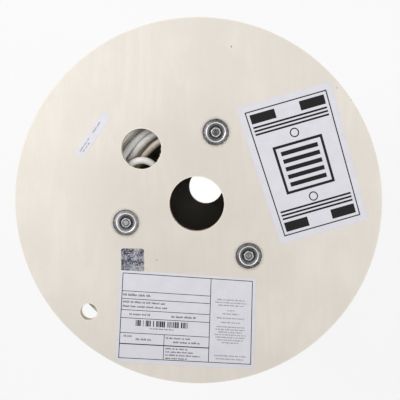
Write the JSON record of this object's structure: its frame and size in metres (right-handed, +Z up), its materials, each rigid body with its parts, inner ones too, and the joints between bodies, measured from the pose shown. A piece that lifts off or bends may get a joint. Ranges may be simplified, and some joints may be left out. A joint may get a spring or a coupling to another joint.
{
  "type": "cable reel",
  "caption": "Plywood cable reel: two round flanges bolted over a thin barrel wound full of round data cable, with a round arbor hole through its axis.",
  "frame": {"origin": "on the reel's axis, on the back flange's outer face, which rests on the floor", "axes": "+Z up along the axis to the front flange, which carries the labels; +Y towards the top of the picture, +X to its right"},
  "size_m": [0.3999, 0.4, 0.418],
  "materials": {
    "plywood": "sanded birch plywood",
    "fibreboard": "raw brown fibreboard",
    "cable_jacket": "matt light grey jacket",
    "zinc_steel": "bright zinc plated"
  },
  "bodies": {
    "root": {"back_flange": "plywood", "back_nut_1": "zinc_steel", "back_nut_2": "zinc_steel", "back_nut_3": "zinc_steel", "back_washer_1": "zinc_steel", "back_washer_2": "zinc_steel", "back_washer_3": "zinc_steel", "barrel": "fibreboard", "cable_tail": "cable_jacket", "cable_winding": "cable_jacket", "front_flange": "plywood", "front_nut_1": "zinc_steel", "front_nut_2": "zinc_steel", "front_nut_3": "zinc_steel", "front_washer_1": "zinc_steel", "front_washer_2": "zinc_steel", "front_washer_3": "zinc_steel", "tie_rod_1": "zinc_steel", "tie_rod_2": "zinc_steel", "tie_rod_3": "zinc_steel"}
  },
  "joints": []
}
